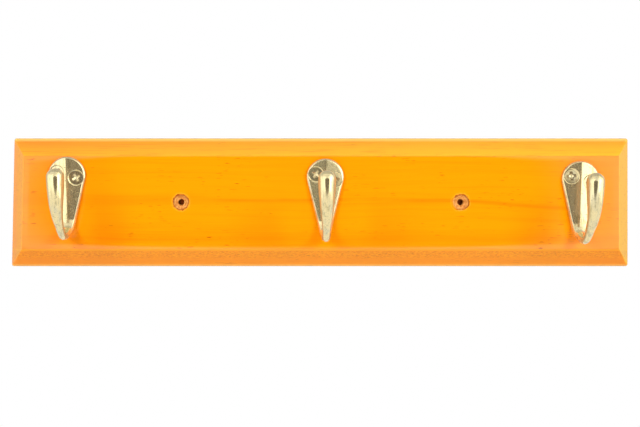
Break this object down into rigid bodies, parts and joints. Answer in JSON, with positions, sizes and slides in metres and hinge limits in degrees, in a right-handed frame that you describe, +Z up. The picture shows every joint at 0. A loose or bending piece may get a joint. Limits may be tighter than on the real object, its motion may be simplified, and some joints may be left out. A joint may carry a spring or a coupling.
{
  "type": "wall coat rack",
  "caption": "Bevelled pine board for a wall, with a row of cast brass single robe hooks, each on a drop-shaped ridged plate held by two countersunk screws.",
  "frame": {"origin": "the middle of the board's flat back, in the wall's plane", "axes": "+X along the board to the viewer's right, +Z up, -Y out of the wall towards the room, where the hooks stand out; +Y is the outward normal of the board's back"},
  "size_m": [0.3057, 0.0516, 0.0636],
  "materials": {
    "lacquered_pine": "honey-orange stain under glossy lacquer",
    "cast_brass": "polished",
    "screw_brass": "plated, worn"
  },
  "bodies": {
    "root": {"board": "lacquered_pine", "left_hook": "cast_brass", "centre_hook": "cast_brass", "right_hook": "cast_brass", "left_hook_upper_screw": "screw_brass", "left_hook_lower_screw": "screw_brass", "centre_hook_upper_screw": "screw_brass", "centre_hook_lower_screw": "screw_brass", "right_hook_upper_screw": "screw_brass", "right_hook_lower_screw": "screw_brass"}
  },
  "joints": []
}
